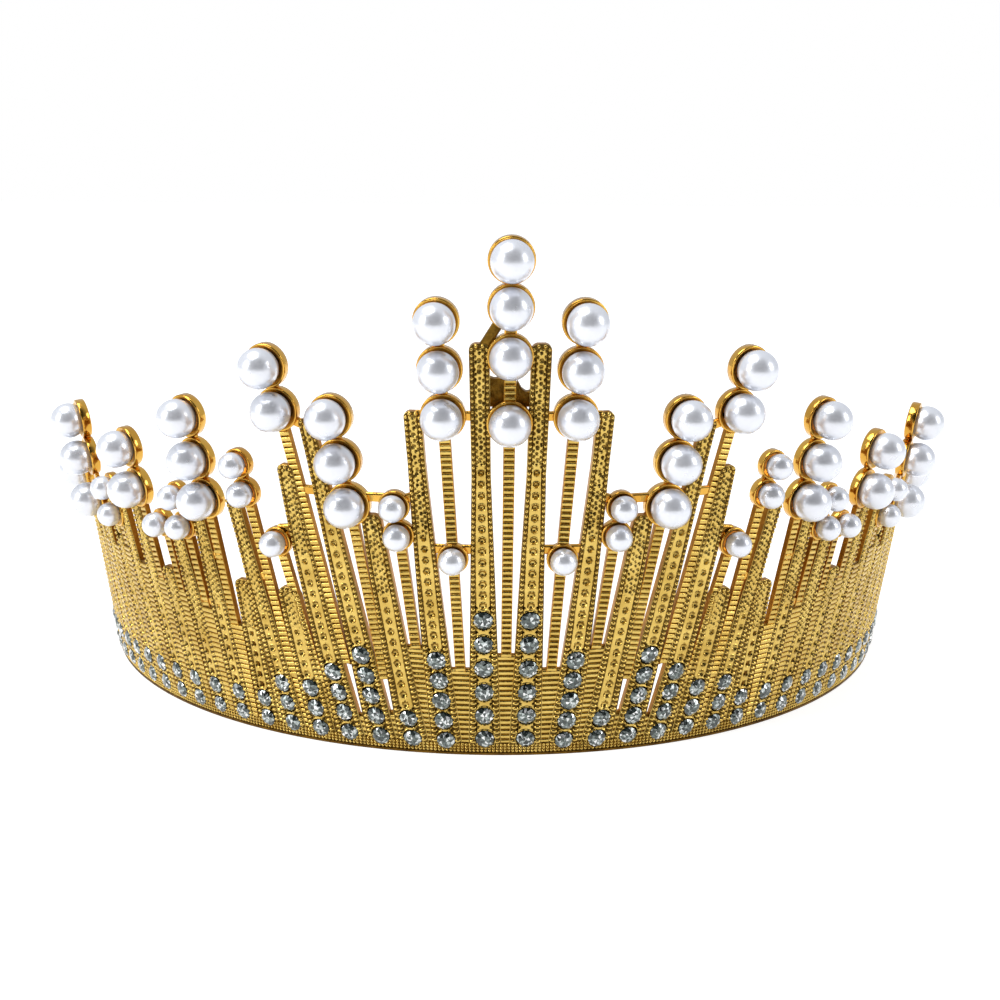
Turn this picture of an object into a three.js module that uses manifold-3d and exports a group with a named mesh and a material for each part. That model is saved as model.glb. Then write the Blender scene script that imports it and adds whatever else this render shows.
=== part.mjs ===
// A rigid hair crown: one cast and bent metal frame of upright bars and thin stalks, with pearls
// glued into cups on the stalks. Millimetres, +Z up, front towards -Y, +X to the right seen from there.
// The frame is laid out flat, as arc length along its bottom edge and height, and then bent round.
import * as THREE from 'three';
import { mergeVertices } from 'three/addons/utils/BufferGeometryUtils.js';
import Module from 'manifold-3d';

const wasm = await Module();
wasm.setup();

// ---- driving dimensions ----------------------------------------------------------------------
const bandRadius = 73.7;        // outer face of the frame at its bottom edge
const flareDegrees = 8.2;       // the wall opens outwards and upwards
const plateThickness = 1.3;     // bars and bottom edge, front to back
const trimmedFoot = 0.6;        // cast below the bottom edge and then ground off flat

const middleBarWidth = { wide: 5.1, narrow: 2.6, taper: 0.055 };    // taper: width lost per mm of height
const innerBarWidth = { wide: 4.9, narrow: 2.4, taper: 0.053 };
const outerBarWidth = { wide: 4.5, narrow: 2.5, taper: 0.060 };
const innerBars = 5;            // on each side, after the middle one
const firstBarAngle = 2.4;      // degrees from the centre line, at the bottom edge
const secondBarAngle = 6.9;
const barPitch = 3.95;          // degrees from one bar to the next after the second

const stalkWidth = 1.55;
const stalkFront = -0.25;       // stalks stand a little behind the bars' faces
const stalkBack = -1.2;
const stripStep = 16;           // bars and stalks are straight over about this length
const linkHeight = 1.4;         // the short bridges that tie cups and bars together
const linkFront = -0.4;
const linkBack = -1.2;
const webFront = -0.6;          // the sunk web that closes the slots between the bars low down
const buriedFoot = 9;           // stalks end inside the web unless they stop higher up

// Pearls and their cups: radii, and depths from the bars' outer face.
const large = {
  pearl: 3.0, cup: 3.45, centre: 1.7, rim: 0.05, back: -2.1, cupSides: 9, ballSides: 10, ballRings: 7,
};
const small = {
  pearl: 2.0, cup: 2.45, centre: 1.3, rim: 0.1, back: -1.8, cupSides: 8, ballSides: 8, ballRings: 6,
};
const pearlGap = 0.35;          // between a pearl and its cup, taken up by glue
const lowestGlue = 0.9;         // radius of the glue bead that joins a touching pair of pearls

const holeRadius = 0.7;         // the pin hole near each end
const holeAngle = 57.8;
const holeHeight = 26.9;

// The stiffener soldered behind the two middle bars: its outline, as distance and height.
const braceOutline = [[-4.0, 55.3], [4.0, 55.3], [4.0, 57.9], [2.2, 57.5], [1.6, 58.0], [1.05, 59.1],
  [0.7, 58.2], [-0.6, 59.7], [-2.0, 59.4], [-4.0, 60.2]];
const braceFront = -2.35;
const braceBack = -3.45;

// Bars on one side, from the centre outwards: height, lean in degrees per mm, and how much of
// that lean fades with height.
const bars = [
  { top: 65.0, lean: 0.010, bow: 0 },
  { top: 55.0, lean: 0.075, bow: 0.0004 },
  { top: 39.0, lean: 0.125, bow: 0.0006 },
  { top: 53.0, lean: 0.140, bow: 0.0003 },
  { top: 45.7, lean: 0.165, bow: 0.0009 },
  { top: 25.8, lean: 0.140, bow: 0.0009 },
  { top: 39.5, lean: 0.135, bow: 0 },
  { top: 25.8, lean: 0.060, bow: 0 },
  { top: 36.5, lean: 0.090, bow: 0 },
  { top: 32.5, lean: 0.115, bow: 0 },
  { top: 24.8, lean: 0.115, bow: 0 },
  { top: 34.5, lean: 0.120, bow: 0 },
  { top: 35.5, lean: 0.120, bow: 0 },
  { top: 33.0, lean: 0.120, bow: 0 },
  { top: 30.5, lean: 0.120, bow: 0 },
  { top: 29.5, lean: 0.120, bow: 0 },
  { top: 28.5, lean: 0.115, bow: 0 },
  { top: 27.5, lean: 0.110, bow: 0 },
  { top: 26.5, lean: 0.105, bow: 0 },
  { top: 25.0, lean: 0.100, bow: 0 },
  { top: 23.0, lean: 0.095, bow: 0 },
  { top: 20.0, lean: 0.090, bow: 0 },
  { top: 16.0, lean: 0.085, bow: 0 },
];

// How high the sunk web closes each slot: the middle slot, then the slot outside each bar.
const webTops = [17, 14.5, 18, 6.5, 5.5, 11, 11, 21, 18, 20, 21, 22, 24, 26, 25, 25, 24, 23, 22, 21,
  19, 16, 12];

// Stalks on one side, from the centre outwards, with the heights of the pearls on each. foot is
// where a stalk stops above the bottom edge and leaves an open slot under it.
const stalks = [
  { angle: 4.75, lean: 0.0355, large: [68.2, 61.4, 54.5], small: [32.8] },
  { angle: 9.05, lean: 0.0745, large: [], small: [40.7, 36.2] },
  { angle: 13.05, lean: 0.101, large: [53.8, 47.2, 40.5], small: [], foot: 12 },
  { angle: 17.05, lean: 0.137, large: [60.7, 54.3], small: [], foot: 14 },
  { angle: 20.9, lean: 0.160, large: [], small: [33.4] },
  { angle: 24.9, lean: 0.121, large: [], small: [45.2, 40.7] },
  { angle: 32.7, lean: 0.0855, large: [51.6, 45.0, 38.6], small: [] },
  { angle: 36.6, lean: 0.107, large: [], small: [38.1, 33.3] },
  { angle: 40.6, lean: 0.118, large: [], small: [32.7] },
  { angle: 44.5, lean: 0.119, large: [44.2, 37.6], small: [] },
  { angle: 52.3, lean: 0.120, large: [], small: [35.8, 31.3], glued: true },
  { angle: 60.2, lean: 0.120, large: [45.4, 39.0, 31.7], small: [] },
  { angle: 76.0, lean: 0.060, large: [32.9], small: [] },
];
const centreStalk = { angle: 0, lean: 0, large: [76.9, 70.4, 63.4, 53.7], small: [] };

// Short bridges on one side, each from one angle and height to another.
const links = [
  [[3.2, 54.4], [9.6, 54.4]],
  [[2.9, 34.0], [8.6, 34.0]],
  [[9.6, 42.2], [12.0, 41.2]],
  [[12.2, 41.6], [17.0, 41.6]],
  [[21.2, 51.8], [24.4, 53.2]],
  [[19.9, 42.0], [22.7, 42.0]],
  [[23.2, 35.8], [26.2, 35.2]],
  [[28.3, 27.0], [30.2, 27.0]],
  [[29.0, 17.6], [31.6, 17.6]],
  [[35.0, 29.0], [37.0, 29.0]],
  [[36.4, 20.6], [41.0, 20.6]],
  [[36.4, 38.2], [40.6, 38.2]],
  [[40.2, 33.0], [44.4, 33.0]],
  [[44.2, 22.0], [49.0, 22.0]],
];
const centreStrut = [[-3.0, 63.6], [-1.0, 68.2]];    // ties the left middle bar to the second pearl's cup

// ---- helpers ---------------------------------------------------------------------------------
const radians = THREE.MathUtils.degToRad;
const flareSlope = Math.tan(radians(flareDegrees));
const flareSin = Math.sin(radians(flareDegrees));
const flareCos = Math.cos(radians(flareDegrees));
const arc = (degrees) => radians(degrees) * bandRadius;
const growth = (height) => 1 + height * flareSlope / bandRadius;    // how far bending widens the top

// From the flat layout (arc length, height, depth from the outer face) to the bent crown.
function bend(point) {
  const turn = point.x / bandRadius;
  const radius = bandRadius + point.y * flareSlope + point.z * flareCos;
  const height = point.y - point.z * flareSin;
  return point.set(radius * Math.sin(turn), -radius * Math.cos(turn), height);
}

function toSolid(geometry) {
  const bare = geometry.index ? geometry.clone() : geometry;
  bare.deleteAttribute('normal');
  bare.deleteAttribute('uv');
  const merged = mergeVertices(bare, 1e-5);
  const mesh = new wasm.Mesh({
    numProp: 3,
    vertProperties: new Float32Array(merged.attributes.position.array),
    triVerts: new Uint32Array(merged.index.array),
  });
  return new wasm.Manifold(mesh);
}

function toGeometry(solid) {
  const mesh = solid.getMesh();
  const geometry = new THREE.BufferGeometry();
  geometry.setAttribute('position', new THREE.BufferAttribute(mesh.vertProperties, 3));
  geometry.setIndex(new THREE.BufferAttribute(mesh.triVerts, 1));
  return geometry;
}

function bendSolid(solid) {
  const geometry = toGeometry(solid);
  const position = geometry.attributes.position;
  const point = new THREE.Vector3();
  for (let i = 0; i < position.count; i += 1) {
    bend(point.fromBufferAttribute(position, i));
    position.setXYZ(i, point.x, point.y, point.z);
  }
  return toSolid(geometry);
}

const join = (solids) => solids.reduce((whole, solid) => whole.add(solid));

function plate(outline, back, front) {
  const depth = front - back;
  const geometry = new THREE.ExtrudeGeometry(new THREE.Shape(outline), { depth, bevelEnabled: false });
  return toSolid(geometry.translate(0, 0, back));
}

// ---- pieces of the frame, all in the flat layout -----------------------------------------------
const barAngle = (index) => (index === 0 ? firstBarAngle : secondBarAngle + (index - 1) * barPitch);
const barCentre = (index, height) => {
  const { lean, bow } = bars[index];
  return barAngle(index) + lean * height - bow * height * height;
};
const barWidthAt = (index, height) => {
  const outer = index > innerBars ? outerBarWidth : innerBarWidth;
  const { wide, narrow, taper } = index === 0 ? middleBarWidth : outer;
  return Math.max(narrow, wide - taper * height);
};
const stalkCentre = (stalk, height) => stalk.angle + stalk.lean * height;

// An upright strip along a centre line given in degrees, with a round top unless a cup hides it.
function strip({ centre, width, low, high, back, front, side, roundTop = [] }) {
  const steps = Math.max(1, Math.round((high - low) / stripStep));
  const topHalf = width(high) / 2;
  const straight = high - topHalf;
  const leftEdge = [];
  const rightEdge = [];
  for (let i = 0; i <= steps; i += 1) {
    const height = low + (straight - low) * i / steps;
    const middle = side * arc(centre(height));
    const half = width(height) / 2;
    leftEdge.push(new THREE.Vector2(middle - half, height));
    rightEdge.push(new THREE.Vector2(middle + half, height));
  }
  const dome = roundTop.map((degrees) => new THREE.Vector2(
    side * arc(centre(straight)) + topHalf * Math.cos(radians(degrees)),
    straight + topHalf * Math.sin(radians(degrees)),
  ));
  return plate([...rightEdge, ...dome, ...leftEdge.reverse()], back, front);
}

function castBar(index, side) {
  return strip({
    centre: (height) => barCentre(index, height),
    width: (height) => barWidthAt(index, height),
    low: -trimmedFoot,
    high: bars[index].top,
    back: -plateThickness,
    front: 0,
    side,
    roundTop: [45, 90, 135],
  });
}

function castStalk(stalk, side) {
  return strip({
    centre: (height) => stalkCentre(stalk, height),
    width: () => stalkWidth,
    low: stalk.foot ?? buriedFoot,
    high: Math.max(...stalk.large, ...stalk.small),
    back: stalkBack,
    front: stalkFront,
    side,
  });
}

function web(index, side) {
  const top = webTops[index];
  const inner = (height) => (index === 0 ? 0 : barCentre(index - 1, height));
  const outer = (height) => barCentre(index, height);
  const outline = [[inner, -trimmedFoot], [outer, -trimmedFoot], [outer, top], [inner, top]];
  const points = outline.map(([edge, height]) => new THREE.Vector2(side * arc(edge(height)), height));
  return plate(side > 0 ? points : points.reverse(), -plateThickness, webFront);
}

function link([from, to], side) {
  const start = new THREE.Vector2(side * arc(from[0]), from[1]);
  const end = new THREE.Vector2(side * arc(to[0]), to[1]);
  const across = end.clone().sub(start).normalize().multiplyScalar(linkHeight / 2);
  const offset = new THREE.Vector2(-across.y, across.x);
  const outline = [start.clone().sub(offset), end.clone().sub(offset), end.clone().add(offset),
    start.clone().add(offset)];
  return plate(outline, linkBack, linkFront);
}

// A shallow round cup. It is drawn narrower by the amount that bending will widen it.
function cup(size, degrees, height) {
  const depth = size.rim - size.back;
  const disc = new THREE.CylinderGeometry(size.cup, size.cup, depth, size.cupSides);
  disc.rotateX(Math.PI / 2);
  disc.scale(1 / growth(height), 1, 1);
  disc.translate(arc(degrees), height, size.back + depth / 2);
  return toSolid(disc);
}

// The countersink that a pearl sits in: a flat floor and a cone that clears the pearl all round.
function seat(size, degrees, height) {
  const clear = size.pearl + pearlGap;
  const flats = clear / Math.cos(Math.PI / size.cupSides);
  const profile = [[0, -1], [0.36, -1], [1, -0.27], [0, -0.27]].map(([across, along]) => (
    new THREE.Vector2(across * flats, along * clear)));
  const bowl = new THREE.LatheGeometry(profile, size.cupSides);
  bowl.rotateX(Math.PI / 2);
  bowl.scale(1 / growth(height), 1, 1);
  bowl.translate(arc(degrees), height, size.centre);
  return toSolid(bowl);
}

// ---- pearls ----------------------------------------------------------------------------------
const pearls = [];      // every pearl: its name, size, angle and height
centreStalk.large.forEach((height, i) => {
  pearls.push({ name: `pearl_centre_${i + 1}`, size: large, degrees: 0, height });
});
for (const [sideName, side] of [['left', -1], ['right', 1]]) {
  stalks.forEach((stalk, column) => {
    const all = [...stalk.large.map((height) => [height, large]), ...stalk.small.map((height) => [height, small])];
    all.forEach(([height, size], i) => {
      const name = `pearl_${sideName}_${column + 1}_${i + 1}`;
      const pair = stalk.glued ? `pearl_pair_${sideName}` : null;
      pearls.push({ name, size, degrees: side * stalkCentre(stalk, height), height, pair });
    });
  });
}
for (const pearl of pearls) {
  pearl.place = bend(new THREE.Vector3(arc(pearl.degrees), pearl.height, pearl.size.centre));
}

const pearlBall = (size) => new THREE.SphereGeometry(size.pearl, size.ballSides, size.ballRings);

// ---- the frame -------------------------------------------------------------------------------
const flat = [castStalk(centreStalk, 1), link(centreStrut, 1)];
const cuts = [];
for (const side of [-1, 1]) {
  bars.forEach((bar, i) => flat.push(castBar(i, side), web(i, side)));
  for (const stalk of stalks) flat.push(castStalk(stalk, side));
  for (const ends of links) flat.push(link(ends, side));
  const drill = new THREE.CylinderGeometry(holeRadius, holeRadius, 3 * plateThickness, 8);
  cuts.push(toSolid(drill.rotateX(Math.PI / 2).translate(side * arc(holeAngle), holeHeight, 0)));
}
for (const { size, degrees, height } of pearls) {
  flat.push(cup(size, degrees, height));
  cuts.push(seat(size, degrees, height));
}
const grinder = new THREE.BoxGeometry(4 * bandRadius, 4 * bandRadius, 2 * plateThickness);
grinder.translate(0, 0, -plateThickness);
const frameSolid = bendSolid(join(flat).subtract(join(cuts))).subtract(toSolid(grinder));

const leaf = braceOutline.map(([across, height]) => new THREE.Vector2(across, height));
const braceSolid = bendSolid(plate(leaf, braceBack, braceFront));

// ---- the assembly ----------------------------------------------------------------------------
const gold = new THREE.MeshStandardMaterial({ color: '#c9a13b', roughness: 0.3, metalness: 1 });
const darkGold = new THREE.MeshStandardMaterial({ color: '#8a6a24', roughness: 0.45, metalness: 1 });
const pearlWhite = new THREE.MeshStandardMaterial({ color: '#f1f1f4', roughness: 0.18, metalness: 0 });

const group = new THREE.Group();
function addMesh(name, geometry, material) {
  const mesh = new THREE.Mesh(geometry, material.clone());
  mesh.name = name;
  group.add(mesh);
  return mesh;
}
addMesh('crown_frame', toGeometry(frameSolid), gold);
addMesh('centre_brace', toGeometry(braceSolid), darkGold);

for (const { name, size, place, pair } of pearls) {
  if (pair) continue;
  addMesh(name, pearlBall(size), pearlWhite).position.copy(place);
}
// Two small pearls on the same stalk touch and share one bead of glue, so they are one solid.
for (const pairName of new Set(pearls.map(({ pair }) => pair).filter(Boolean))) {
  const [first, second] = pearls.filter(({ pair }) => pair === pairName);
  const spine = new THREE.LineCurve3(first.place, second.place);
  const bead = new THREE.Shape().absarc(0, 0, lowestGlue, 0, 2 * Math.PI);
  const glue = new THREE.ExtrudeGeometry(bead, { steps: 1, extrudePath: spine, curveSegments: 4 });
  const balls = [first, second].map(({ size, place }) => toSolid(pearlBall(size).translate(...place)));
  addMesh(pairName, toGeometry(join([...balls, toSolid(glue)])), pearlWhite);
}

// The origin is on the ground-flat bottom edge, under the middle of the crown's outer box.
group.position.y = -new THREE.Box3().setFromObject(group).getCenter(new THREE.Vector3()).y;

export default group;
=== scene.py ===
# A gold-plated hair crown: textured bars, ribbed stalks, pearls in cups and rhinestones.
# Everything but the pearls is laid out flat, in millimetres, and bent round the head at the end.
import math
import random

import bpy
import numpy as np
from mathutils import Matrix, Vector


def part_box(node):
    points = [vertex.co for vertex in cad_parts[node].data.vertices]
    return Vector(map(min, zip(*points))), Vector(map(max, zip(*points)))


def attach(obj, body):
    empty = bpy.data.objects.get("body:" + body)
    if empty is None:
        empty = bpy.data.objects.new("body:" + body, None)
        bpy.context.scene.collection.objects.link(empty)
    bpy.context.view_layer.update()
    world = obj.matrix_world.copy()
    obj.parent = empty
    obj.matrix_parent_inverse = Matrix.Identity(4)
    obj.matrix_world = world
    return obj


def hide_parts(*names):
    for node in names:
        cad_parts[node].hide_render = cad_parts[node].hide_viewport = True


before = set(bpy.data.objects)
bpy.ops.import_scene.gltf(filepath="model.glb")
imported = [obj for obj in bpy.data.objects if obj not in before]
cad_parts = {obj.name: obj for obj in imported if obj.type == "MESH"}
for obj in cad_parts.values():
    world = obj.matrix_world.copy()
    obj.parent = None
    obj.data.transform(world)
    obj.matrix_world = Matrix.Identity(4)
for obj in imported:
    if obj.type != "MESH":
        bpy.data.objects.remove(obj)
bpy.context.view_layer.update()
mm = 0.001


def addNode(tree, kind, inputs=None, **settings):
    # one node, with its settings, values and links
    node = tree.nodes.new(kind)
    for name, value in settings.items():
        setattr(node, name, value)
    for socket, value in (inputs or {}).items():
        if isinstance(value, bpy.types.NodeSocket):
            tree.links.new(value, node.inputs[socket])
        else:
            node.inputs[socket].default_value = value
    return node


def hexColour(code, alpha=1.0):
    # sRGB hex to linear
    parts = [int(code[i:i + 2], 16) / 255 for i in (1, 3, 5)]
    return (*[c / 12.92 if c <= 0.04045 else ((c + 0.055) / 1.055) ** 2.4 for c in parts], alpha)


# the frame's layout, as it is cast
layout = {
    "radius": 73.7,          # outer face at the bottom edge
    "flare": math.radians(8.2),      # how far the wall opens outwards
    "thick": 1.3,            # front to back
    "firstBar": 2.4,         # degrees from the centre line
    "secondBar": 6.9,
    "barPitch": 3.95,
    "pearlDepth": {"large": 1.7, "small": 1.3},      # middle of a pearl, in front of the bars
    "topPearl": 76.9,        # height of the top centre pearl
}
bars = [      # top, lean, bow, stones, height where the fine pitting starts
    (65.0, 0.010, 0, 6, 47), (55.0, 0.075, 0.0004, 5, 37), (39.0, 0.125, 0.0006, 2, 27),
    (53.0, 0.140, 0.0003, 5, 38), (45.7, 0.165, 0.0009, 4, 32), (25.8, 0.140, 0.0009, 3, 19),
    (39.5, 0.135, 0, 3, 21), (25.8, 0.060, 0, 2, 18), (36.5, 0.090, 0, 2, 21), (32.5, 0.115, 0, 2, 15),
    (24.8, 0.115, 0, 2, 17), (34.5, 0.120, 0, 2, 20), (35.5, 0.120, 0, 2, 19), (33.0, 0.120, 0, 2, 18),
    (30.5, 0.120, 0, 2, 18), (29.5, 0.120, 0, 2, 17), (28.5, 0.115, 0, 2, 17), (27.5, 0.110, 0, 2, 17),
    (26.5, 0.105, 0, 2, 17), (25.0, 0.100, 0, 2, 16), (23.0, 0.095, 0, 2, 15), (20.0, 0.090, 0, 2, 14),
    (16.0, 0.085, 0, 2, 12),
]
barWidths = [      # last bar that this is for, width at the foot, least width, narrowing per mm of height
    (0, 5.1, 2.6, 0.055), (5, 4.9, 2.4, 0.053), (22, 4.5, 2.5, 0.060),
]
# height of the web on the inner side of each bar
webTops = [17, 14.5, 18, 6.5, 5.5, 11, 11, 21, 18, 20, 21, 22, 24, 26, 25, 25, 24, 23, 22, 21, 19, 16, 12]
stalks = [    # angle, lean, foot, heights of large pearls, heights of small pearls
    (4.75, 0.0355, 1.2, [68.2, 61.4, 54.5], [32.8]), (9.05, 0.0745, 9, [], [40.7, 36.2]),
    (13.05, 0.101, 12, [53.8, 47.2, 40.5], []), (17.05, 0.137, 14, [60.7, 54.3], []),
    (20.9, 0.160, 10, [], [33.4]), (24.9, 0.121, 10, [], [45.2, 40.7]),
    (32.7, 0.0855, 5, [51.6, 45.0, 38.6], []), (36.6, 0.107, 9, [], [38.1, 33.3]),
    (40.6, 0.118, 9, [], [32.7]), (44.5, 0.119, 9, [44.2, 37.6], []), (52.3, 0.120, 9, [], [35.8, 31.3]),
    (60.2, 0.120, 9, [45.4, 39.0, 31.7], []), (76.0, 0.060, 9, [32.9], []),
]
centrePearls = [76.9, 70.4, 63.4, 53.7]
links = [     # angle and height of the two ends
    ((3.2, 54.4), (9.6, 54.4)), ((2.9, 34.0), (8.6, 34.0)), ((9.6, 42.2), (12.0, 41.2)),
    ((12.2, 41.6), (17.0, 41.6)), ((21.2, 51.8), (24.4, 53.2)), ((19.9, 42.0), (22.7, 42.0)),
    ((23.2, 35.8), (26.2, 35.2)), ((28.3, 27.0), (30.2, 27.0)), ((29.0, 17.6), (31.6, 17.6)),
    ((35.0, 29.0), (37.0, 29.0)), ((36.4, 20.6), (41.0, 20.6)), ((36.4, 38.2), (40.6, 38.2)),
    ((40.2, 33.0), (44.4, 33.0)), ((44.2, 22.0), (49.0, 22.0)),
]
centreStrut = ((-3.0, 63.6), (-1.0, 68.2))      # the one strut that is on one side only

flareSin, flareCos = math.sin(layout["flare"]), math.cos(layout["flare"])
flareTan = math.tan(layout["flare"])


def centreOfNode(name):
    low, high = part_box(name)
    return (low + high) / 2


# the middle of the head circle, found from the top pearl, which stands on the centre line
topRadius = layout["radius"] + layout["topPearl"] * flareTan + layout["pearlDepth"]["large"] * flareCos
circleY = centreOfNode("pearl_centre_1").y + topRadius * mm


def arc(degrees):
    return math.radians(degrees) * layout["radius"]


def growth(height):
    # how much the bend widens things at this height
    return 1 + height * flareTan / layout["radius"]


def barCentre(index, height):
    lean, bow = bars[index][1:3]
    start = layout["firstBar"] if index == 0 else layout["secondBar"] + (index - 1) * layout["barPitch"]
    return arc(start + lean * height - bow * height * height)


def barWidth(index, height):
    wide, narrow, taper = next(row[1:] for row in barWidths if index <= row[0])
    return max(narrow, wide - taper * height)


def stalkCentre(stalk, height):
    return arc(stalk[0] + stalk[1] * height)


# geometry node trees
def newTree(name, inputs):
    tree = bpy.data.node_groups.new(name, "GeometryNodeTree")
    tree.interface.new_socket("Geometry", in_out="INPUT", socket_type="NodeSocketGeometry")
    for label, (kind, value) in inputs.items():
        socket = tree.interface.new_socket(label, in_out="INPUT", socket_type=kind)
        if value is not None:
            socket.default_value = value
    tree.interface.new_socket("Geometry", in_out="OUTPUT", socket_type="NodeSocketGeometry")
    return tree


def bendTree():
    # flat layout in millimetres to the bent crown in metres
    tree = newTree("bendRoundHead", {
        "Radius": ("NodeSocketFloat", layout["radius"]),
        "Flare": ("NodeSocketFloat", layout["flare"]),
        "Circle Y": ("NodeSocketFloat", circleY),
    })
    start = addNode(tree, "NodeGroupInput").outputs

    def calc(operation, a, b=0.0):
        return addNode(tree, "ShaderNodeMath", {0: a, 1: b}, operation=operation).outputs[0]

    flat = addNode(tree, "ShaderNodeSeparateXYZ",
                   {0: addNode(tree, "GeometryNodeInputPosition").outputs[0]}).outputs
    turn = calc("DIVIDE", flat["X"], start["Radius"])
    leanOut = calc("MULTIPLY", flat["Y"], calc("TANGENT", start["Flare"]))
    standOut = calc("MULTIPLY", flat["Z"], calc("COSINE", start["Flare"]))
    reach = calc("ADD", start["Radius"], calc("ADD", leanOut, standOut))
    drop = calc("MULTIPLY", flat["Z"], calc("SINE", start["Flare"]))
    bent = addNode(tree, "ShaderNodeCombineXYZ", {
        "X": calc("MULTIPLY", reach, calc("SINE", turn)),
        "Y": calc("MULTIPLY", calc("MULTIPLY", reach, calc("COSINE", turn)), -1.0),
        "Z": calc("SUBTRACT", flat["Y"], drop),
    }).outputs[0]
    metres = addNode(tree, "ShaderNodeVectorMath", {0: bent, "Scale": mm}, operation="SCALE").outputs[0]
    forward = addNode(tree, "ShaderNodeCombineXYZ", {"Y": start["Circle Y"]}).outputs[0]
    place = addNode(tree, "ShaderNodeVectorMath", {0: metres, 1: forward}, operation="ADD").outputs[0]
    moved = addNode(tree, "GeometryNodeSetPosition", {"Geometry": start["Geometry"], "Position": place})
    addNode(tree, "NodeGroupOutput", {"Geometry": moved.outputs[0]})
    return tree


bend = bendTree()


def finishTree(tree, geometry, start):
    # the end that every tree shares: real geometry, its material, and the bend
    real = addNode(tree, "GeometryNodeRealizeInstances", {"Geometry": geometry}).outputs[0]
    bent = addNode(tree, "GeometryNodeGroup", node_tree=bend)
    tree.links.new(real, bent.inputs["Geometry"])
    coated = addNode(tree, "GeometryNodeSetMaterial",
                     {"Geometry": bent.outputs[0], "Material": start["Material"]}).outputs[0]
    addNode(tree, "NodeGroupOutput", {"Geometry": coated})
    return tree


def alongPathTree():
    # copies of one small shape, evenly spaced along lines, turned to follow them
    tree = newTree("copiesAlongPath", {
        "Shape": ("NodeSocketObject", None),
        "Spacing": ("NodeSocketFloat", 1.0),
        "Size Change": ("NodeSocketFloat", 0.1),
        "Seed": ("NodeSocketInt", 3),
        "Material": ("NodeSocketMaterial", None),
    })
    start = addNode(tree, "NodeGroupInput").outputs
    line = addNode(tree, "GeometryNodeMeshToCurve", {"Mesh": start["Geometry"]}).outputs[0]
    even = addNode(tree, "GeometryNodeResampleCurve", {"Curve": line, "Length": start["Spacing"]},
                   mode="LENGTH").outputs[0]
    tangent = addNode(tree, "GeometryNodeInputTangent").outputs[0]
    turned = addNode(tree, "FunctionNodeAlignRotationToVector", {"Vector": tangent}, axis="Y").outputs[0]
    shape = addNode(tree, "GeometryNodeObjectInfo", {"Object": start["Shape"]}).outputs["Geometry"]
    least = addNode(tree, "ShaderNodeMath", {0: 1.0, 1: start["Size Change"]},
                    operation="SUBTRACT").outputs[0]
    # sockets 2 and 3 are the node's least and greatest for single numbers, and output 1 its result
    size = addNode(tree, "FunctionNodeRandomValue", {2: least, 3: 1.0, "Seed": start["Seed"]},
                   data_type="FLOAT").outputs[1]
    copies = addNode(tree, "GeometryNodeInstanceOnPoints",
                     {"Points": even, "Instance": shape, "Rotation": turned, "Scale": size}).outputs[0]
    return finishTree(tree, copies, start)


def onPointsTree():
    # one copy of a shape on each point, with the point's own turn about its face and width
    tree = newTree("copiesOnPoints", {
        "Shape": ("NodeSocketObject", None),
        "Material": ("NodeSocketMaterial", None),
    })
    start = addNode(tree, "NodeGroupInput").outputs
    turn, fit = [addNode(tree, "GeometryNodeInputNamedAttribute", {"Name": label},
                         data_type="FLOAT_VECTOR").outputs[0] for label in ("turn", "fit")]
    shape = addNode(tree, "GeometryNodeObjectInfo", {"Object": start["Shape"]}).outputs["Geometry"]
    copies = addNode(tree, "GeometryNodeInstanceOnPoints",
                     {"Points": start["Geometry"], "Instance": shape}).outputs[0]
    spun = addNode(tree, "GeometryNodeRotateInstances", {"Instances": copies, "Rotation": turn})
    sized = addNode(tree, "GeometryNodeScaleInstances",
                    {"Instances": spun.outputs[0], "Scale": fit, "Local Space": True}).outputs[0]
    return finishTree(tree, sized, start)


def plainBendTree():
    tree = newTree("bendOnly", {})
    start = addNode(tree, "NodeGroupInput").outputs
    bent = addNode(tree, "GeometryNodeGroup", node_tree=bend)
    tree.links.new(start["Geometry"], bent.inputs["Geometry"])
    addNode(tree, "NodeGroupOutput", {"Geometry": bent.outputs[0]})
    return tree


alongPath, onPoints, bendOnly = alongPathTree(), onPointsTree(), plainBendTree()


def meshObject(name, vertices, faces=(), edges=(), materials=(), smooth=True):
    mesh = bpy.data.meshes.new(name)
    mesh.from_pydata([tuple(v) for v in vertices], list(edges), list(faces))
    for material in materials:
        mesh.materials.append(material)
    if smooth and len(mesh.polygons):
        mesh.shade_smooth()
        mesh.set_sharp_from_angle(angle=math.radians(55))
    piece = bpy.data.objects.new(name, mesh)
    bpy.context.scene.collection.objects.link(piece)
    return piece


def growPiece(source, tree, name, settings=None):
    # runs a tree on the source and keeps the result as a plain mesh
    modifier = source.modifiers.new("grow", "NODES")
    modifier.node_group = tree
    for item in tree.interface.items_tree:
        if item.in_out == "INPUT" and item.name in (settings or {}):
            modifier[item.identifier] = settings[item.name]
    depsgraph = bpy.context.evaluated_depsgraph_get()
    mesh = bpy.data.meshes.new_from_object(source.evaluated_get(depsgraph), preserve_all_data_layers=True,
                                           depsgraph=depsgraph)
    mesh.name = name
    piece = bpy.data.objects.new(name, mesh)
    bpy.context.scene.collection.objects.link(piece)
    bpy.data.objects.remove(source)
    return piece


shapeBench = []      # the small shapes that are copied, removed at the end


def benchShape(name, vertices, faces, smooth=True):
    shape = meshObject(name, vertices, faces, smooth=smooth)
    shape.hide_render = True
    shapeBench.append(shape)
    return shape


# materials
def newMaterial(name):
    material = bpy.data.materials.new(name)
    material.use_nodes = True
    tree = material.node_tree
    tree.nodes.clear()
    return material, tree


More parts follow.
